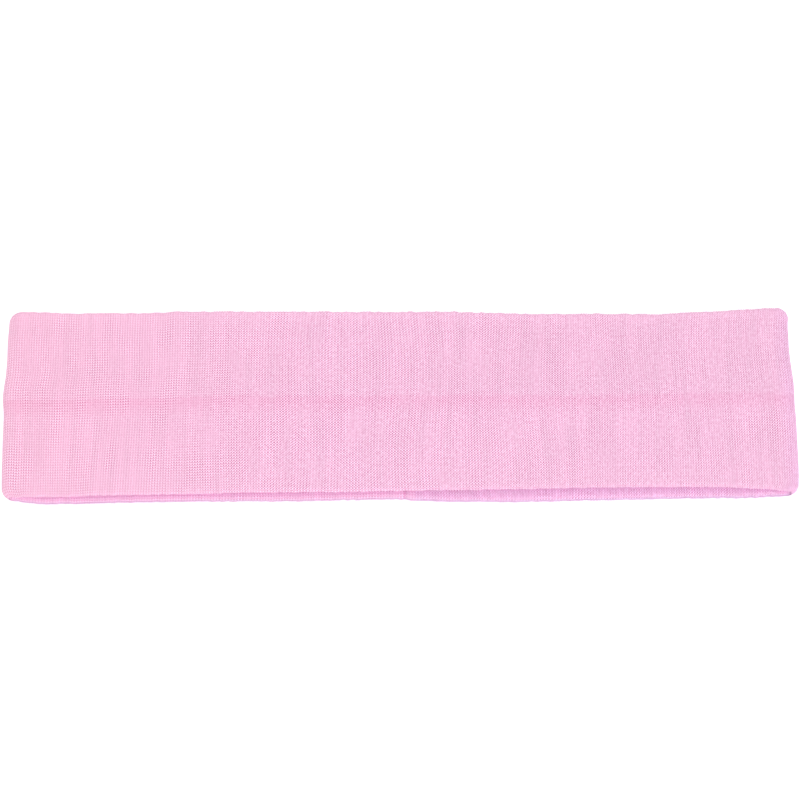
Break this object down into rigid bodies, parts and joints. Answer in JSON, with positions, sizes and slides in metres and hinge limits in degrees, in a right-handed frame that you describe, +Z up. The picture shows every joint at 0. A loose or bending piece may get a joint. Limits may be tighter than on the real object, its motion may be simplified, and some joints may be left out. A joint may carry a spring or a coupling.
{
  "type": "sports headband",
  "caption": "Wide stretch headband stored flat: a loop of doubled fine knit with a lengthwise inner seam and a sewn join, which opens from flat to a round ring.",
  "frame": {"origin": "middle of the underside of the flat band, 1.5 mm to the left of the sewn join", "axes": "+X along the flat band towards its right fold, +Y across the band's width towards the upper long edge, +Z up from the table through the back half and then the front half"},
  "size_m": [0.24, 0.06, 0.0056],
  "materials": {
    "knit": "matt fine jersey knit, pale pink, soft fuzz",
    "knit_inside": "matt fine jersey knit, pale pink, turned in",
    "thread": "spun polyester sewing thread, pink"
  },
  "bodies": {
    "back_centre": {"band_back_centre_left": "knit", "band_back_centre_right": "knit", "join_allowance_left": "knit_inside", "join_allowance_right": "knit_inside", "join_stitches": "thread"},
    "back_right_1": {"band_back_right_1": "knit"},
    "back_right_2": {"band_back_right_2": "knit"},
    "back_right_3": {"band_back_right_3": "knit"},
    "back_right_4": {"band_back_right_4": "knit"},
    "back_right_5": {"band_back_right_5": "knit"},
    "fold_right": {"band_fold_right": "knit"},
    "front_right_5": {"band_front_right_5": "knit"},
    "front_right_4": {"band_front_right_4": "knit"},
    "front_right_3": {"band_front_right_3": "knit"},
    "front_right_2": {"band_front_right_2": "knit"},
    "front_right_1": {"band_front_right_1": "knit"},
    "front_centre_right": {"band_front_centre_right": "knit"},
    "back_left_1": {"band_back_left_1": "knit"},
    "back_left_2": {"band_back_left_2": "knit"},
    "back_left_3": {"band_back_left_3": "knit"},
    "back_left_4": {"band_back_left_4": "knit"},
    "back_left_5": {"band_back_left_5": "knit"},
    "fold_left": {"band_fold_left": "knit"},
    "front_left_5": {"band_front_left_5": "knit"},
    "front_left_4": {"band_front_left_4": "knit"},
    "front_left_3": {"band_front_left_3": "knit"},
    "front_left_2": {"band_front_left_2": "knit"},
    "front_left_1": {"band_front_left_1": "knit"},
    "front_centre_left": {"band_front_centre_left": "knit"}
  },
  "joints": [
    {"name": "loop_open", "type": "hinge", "parent": "back_centre", "child": "back_right_1", "pos_m": [0.0108, 0, 0.0012], "axis": [0, -1, 0], "range_deg": [0, 16]},
    {"name": "bend_back_right_2", "type": "hinge", "parent": "back_right_1", "child": "back_right_2", "pos_m": [0.0324, 0, 0.0012], "axis": [0, -1, 0], "range_deg": [0, 16]},
    {"name": "bend_back_right_3", "type": "hinge", "parent": "back_right_2", "child": "back_right_3", "pos_m": [0.054, 0, 0.0012], "axis": [0, -1, 0], "range_deg": [0, 16]},
    {"name": "bend_back_right_4", "type": "hinge", "parent": "back_right_3", "child": "back_right_4", "pos_m": [0.0756, 0, 0.0012], "axis": [0, -1, 0], "range_deg": [0, 16]},
    {"name": "bend_back_right_5", "type": "hinge", "parent": "back_right_4", "child": "back_right_5", "pos_m": [0.0972, 0, 0.0012], "axis": [0, -1, 0], "range_deg": [0, 16]},
    {"name": "unfold_back_right", "type": "hinge", "parent": "back_right_5", "child": "fold_right", "pos_m": [0.1188, 0, 0.0012], "axis": [0, -1, 0], "range_deg": [-80, 0]},
    {"name": "unfold_front_right", "type": "hinge", "parent": "fold_right", "child": "front_right_5", "pos_m": [0.1188, 0, 0.0044], "axis": [0, -1, 0], "range_deg": [-80, 0]},
    {"name": "bend_front_right_4", "type": "hinge", "parent": "front_right_5", "child": "front_right_4", "pos_m": [0.0972, 0, 0.0044], "axis": [0, -1, 0], "range_deg": [0, 16]},
    {"name": "bend_front_right_3", "type": "hinge", "parent": "front_right_4", "child": "front_right_3", "pos_m": [0.0756, 0, 0.0044], "axis": [0, -1, 0], "range_deg": [0, 16]},
    {"name": "bend_front_right_2", "type": "hinge", "parent": "front_right_3", "child": "front_right_2", "pos_m": [0.054, 0, 0.0044], "axis": [0, -1, 0], "range_deg": [0, 16]},
    {"name": "bend_front_right_1", "type": "hinge", "parent": "front_right_2", "child": "front_right_1", "pos_m": [0.0324, 0, 0.0044], "axis": [0, -1, 0], "range_deg": [0, 16]},
    {"name": "bend_front_centre_right", "type": "hinge", "parent": "front_right_1", "child": "front_centre_right", "pos_m": [0.0108, 0, 0.0044], "axis": [0, -1, 0], "range_deg": [0, 16]},
    {"name": "bend_back_left_1", "type": "hinge", "parent": "back_centre", "child": "back_left_1", "pos_m": [-0.0108, 0, 0.0012], "axis": [0, 1, 0], "range_deg": [0, 16]},
    {"name": "bend_back_left_2", "type": "hinge", "parent": "back_left_1", "child": "back_left_2", "pos_m": [-0.0324, 0, 0.0012], "axis": [0, 1, 0], "range_deg": [0, 16]},
    {"name": "bend_back_left_3", "type": "hinge", "parent": "back_left_2", "child": "back_left_3", "pos_m": [-0.054, 0, 0.0012], "axis": [0, 1, 0], "range_deg": [0, 16]},
    {"name": "bend_back_left_4", "type": "hinge", "parent": "back_left_3", "child": "back_left_4", "pos_m": [-0.0756, 0, 0.0012], "axis": [0, 1, 0], "range_deg": [0, 16]},
    {"name": "bend_back_left_5", "type": "hinge", "parent": "back_left_4", "child": "back_left_5", "pos_m": [-0.0972, 0, 0.0012], "axis": [0, 1, 0], "range_deg": [0, 16]},
    {"name": "unfold_back_left", "type": "hinge", "parent": "back_left_5", "child": "fold_left", "pos_m": [-0.1188, 0, 0.0012], "axis": [0, 1, 0], "range_deg": [-80, 0]},
    {"name": "unfold_front_left", "type": "hinge", "parent": "fold_left", "child": "front_left_5", "pos_m": [-0.1188, 0, 0.0044], "axis": [0, 1, 0], "range_deg": [-80, 0]},
    {"name": "bend_front_left_4", "type": "hinge", "parent": "front_left_5", "child": "front_left_4", "pos_m": [-0.0972, 0, 0.0044], "axis": [0, 1, 0], "range_deg": [0, 16]},
    {"name": "bend_front_left_3", "type": "hinge", "parent": "front_left_4", "child": "front_left_3", "pos_m": [-0.0756, 0, 0.0044], "axis": [0, 1, 0], "range_deg": [0, 16]},
    {"name": "bend_front_left_2", "type": "hinge", "parent": "front_left_3", "child": "front_left_2", "pos_m": [-0.054, 0, 0.0044], "axis": [0, 1, 0], "range_deg": [0, 16]},
    {"name": "bend_front_left_1", "type": "hinge", "parent": "front_left_2", "child": "front_left_1", "pos_m": [-0.0324, 0, 0.0044], "axis": [0, 1, 0], "range_deg": [0, 16]},
    {"name": "bend_front_centre_left", "type": "hinge", "parent": "front_left_1", "child": "front_centre_left", "pos_m": [-0.0108, 0, 0.0044], "axis": [0, 1, 0], "range_deg": [0, 16]}
  ],
  "couplings": [
    {"joint": "bend_back_right_2", "follows": "loop_open", "ratio": 1},
    {"joint": "bend_back_right_3", "follows": "loop_open", "ratio": 1},
    {"joint": "bend_back_right_4", "follows": "loop_open", "ratio": 1},
    {"joint": "bend_back_right_5", "follows": "loop_open", "ratio": 1},
    {"joint": "unfold_back_right", "follows": "loop_open", "ratio": -5},
    {"joint": "unfold_front_right", "follows": "loop_open", "ratio": -5},
    {"joint": "bend_front_right_4", "follows": "loop_open", "ratio": 1},
    {"joint": "bend_front_right_3", "follows": "loop_open", "ratio": 1},
    {"joint": "bend_front_right_2", "follows": "loop_open", "ratio": 1},
    {"joint": "bend_front_right_1", "follows": "loop_open", "ratio": 1},
    {"joint": "bend_front_centre_right", "follows": "loop_open", "ratio": 1},
    {"joint": "bend_back_left_1", "follows": "loop_open", "ratio": 1},
    {"joint": "bend_back_left_2", "follows": "loop_open", "ratio": 1},
    {"joint": "bend_back_left_3", "follows": "loop_open", "ratio": 1},
    {"joint": "bend_back_left_4", "follows": "loop_open", "ratio": 1},
    {"joint": "bend_back_left_5", "follows": "loop_open", "ratio": 1},
    {"joint": "unfold_back_left", "follows": "loop_open", "ratio": -5},
    {"joint": "unfold_front_left", "follows": "loop_open", "ratio": -5},
    {"joint": "bend_front_left_4", "follows": "loop_open", "ratio": 1},
    {"joint": "bend_front_left_3", "follows": "loop_open", "ratio": 1},
    {"joint": "bend_front_left_2", "follows": "loop_open", "ratio": 1},
    {"joint": "bend_front_left_1", "follows": "loop_open", "ratio": 1},
    {"joint": "bend_front_centre_left", "follows": "loop_open", "ratio": 1}
  ]
}
